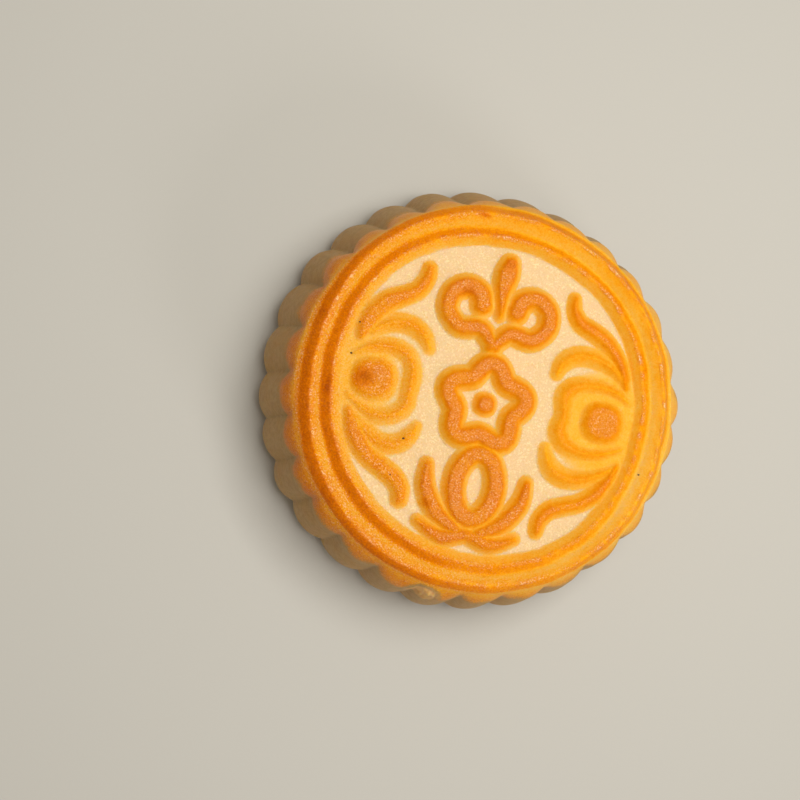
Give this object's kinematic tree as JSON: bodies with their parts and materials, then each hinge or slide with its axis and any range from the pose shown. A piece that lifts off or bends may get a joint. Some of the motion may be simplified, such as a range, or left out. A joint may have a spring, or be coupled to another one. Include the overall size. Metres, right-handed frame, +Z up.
{
  "type": "mooncake",
  "caption": "Round baked mooncake with a fluted side and a pressed top: two rings, side flames, pearls and a column of three raised ornaments.",
  "frame": {"origin": "centre of the flat base, on the surface that the cake stands on", "axes": "+Z up out of the pressed top, +X towards one of the two pearls, +Y up the column of three ornaments"},
  "size_m": [0.0748, 0.0748, 0.0245],
  "materials": {
    "crust": "golden baked crust, egg-washed and slightly glossy on the raised pattern, pale and matte in the hollows and on the side"
  },
  "bodies": {
    "root": {"mooncake": "crust"}
  },
  "joints": []
}
